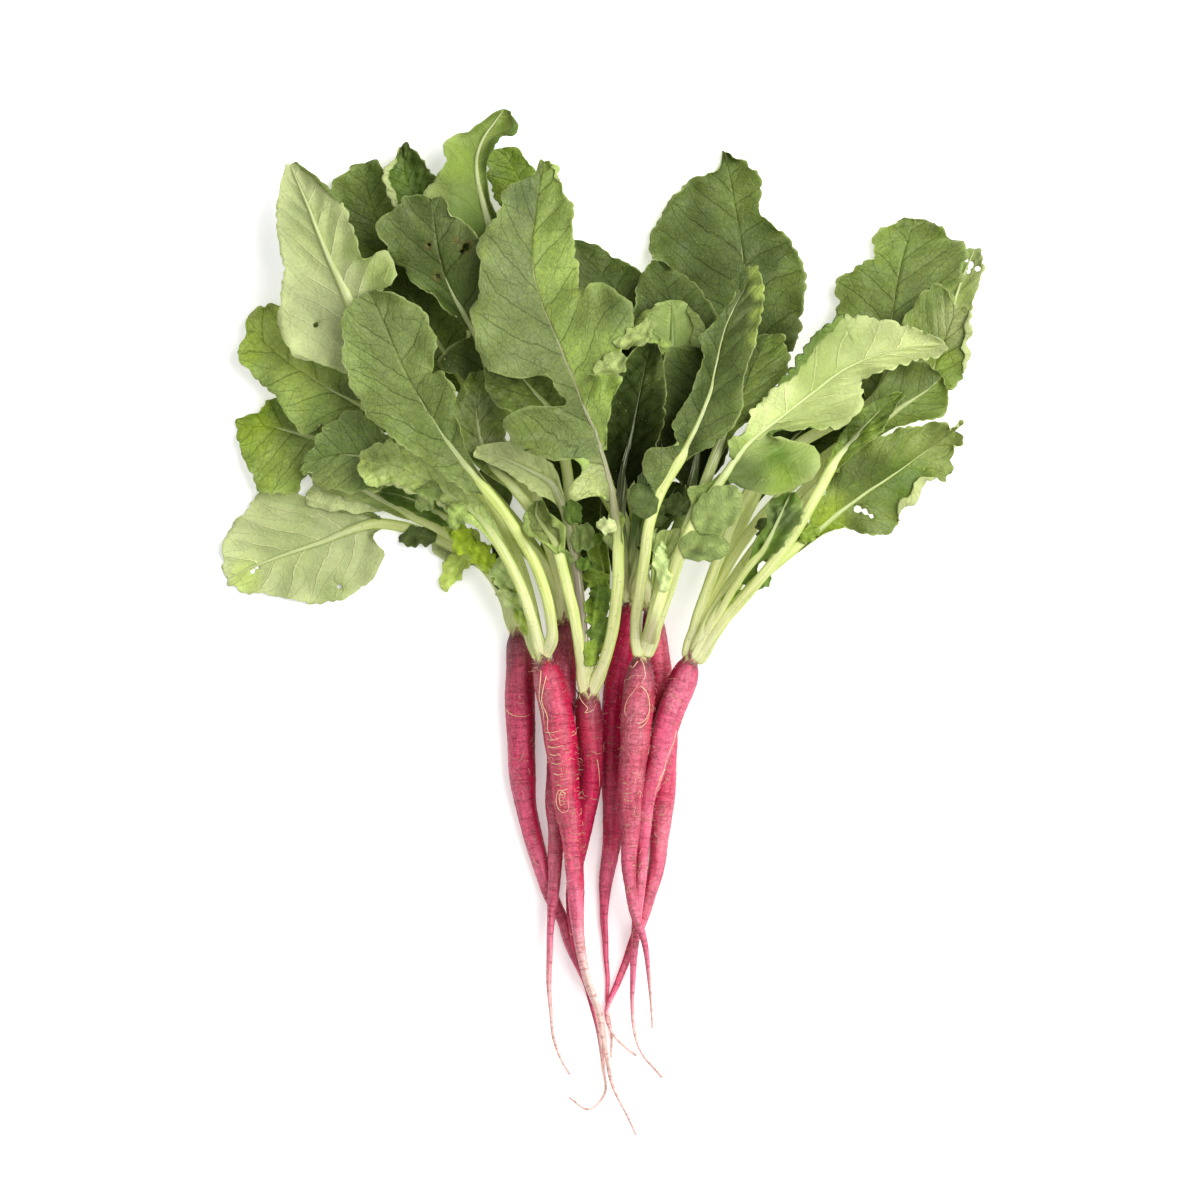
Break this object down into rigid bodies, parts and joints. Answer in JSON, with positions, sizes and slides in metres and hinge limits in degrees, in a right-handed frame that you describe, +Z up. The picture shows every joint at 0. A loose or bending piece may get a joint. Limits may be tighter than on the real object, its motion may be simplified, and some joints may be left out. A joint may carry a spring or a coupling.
{
  "type": "bunch of radishes",
  "caption": "Bunch of long red radishes lying on a table: slim tapering roots with thin whips, pale stalks and a fan of lobed green leaves piled on each other.",
  "frame": {"origin": "on the surface that the bunch lies on, under the middle of its bounding box", "axes": "+Y from the root whips toward the leaves, +X to the right of that as seen from above, +Z up"},
  "size_m": [0.3443, 0.4619, 0.0783],
  "materials": {
    "root_skin": "smooth crimson skin, paler and rougher toward the whip",
    "leaf_upper": "matt green leaf with pale veins and a pale stalk",
    "leaf_underside": "matt pale leaf back with raised veins and a pale stalk"
  },
  "bodies": {
    "root": {"root_a": "root_skin", "root_e": "root_skin", "root_g": "root_skin", "root_c": "root_skin", "root_d": "root_skin", "root_h": "root_skin", "root_b": "root_skin", "root_f": "root_skin", "leaf_a1": "leaf_underside", "leaf_a2": "leaf_underside", "leaf_a3": "leaf_upper", "leaf_c7": "leaf_upper", "leaf_e6": "leaf_upper", "leaf_h8": "leaf_upper", "leaf_c1": "leaf_upper", "leaf_c2": "leaf_upper", "leaf_c3": "leaf_upper", "leaf_c4": "leaf_upper", "leaf_g1": "leaf_upper", "leaf_g2": "leaf_upper", "leaf_e1": "leaf_upper", "leaf_g3": "leaf_underside", "leaf_c5": "leaf_upper", "leaf_e3": "leaf_upper", "leaf_e4": "leaf_upper", "leaf_g5": "leaf_underside", "leaf_g4": "leaf_upper", "leaf_e2": "leaf_upper", "leaf_e5": "leaf_upper", "leaf_c6": "leaf_upper", "leaf_h1": "leaf_underside", "leaf_h2": "leaf_upper", "leaf_h3": "leaf_upper", "leaf_h4": "leaf_upper", "leaf_h5": "leaf_upper", "leaf_h6": "leaf_upper", "leaf_h7": "leaf_underside", "leaf_f1": "leaf_upper", "leaf_f2": "leaf_underside", "leaf_f3": "leaf_underside", "leaf_f4": "leaf_upper", "leaf_b1": "leaf_underside", "leaf_b2": "leaf_underside", "leaf_b3": "leaf_upper", "leaf_b4": "leaf_upper", "leaf_d1": "leaf_upper", "leaf_d2": "leaf_underside", "leaf_d3": "leaf_underside", "leaf_d4": "leaf_upper", "leaf_d5": "leaf_upper"}
  },
  "joints": []
}
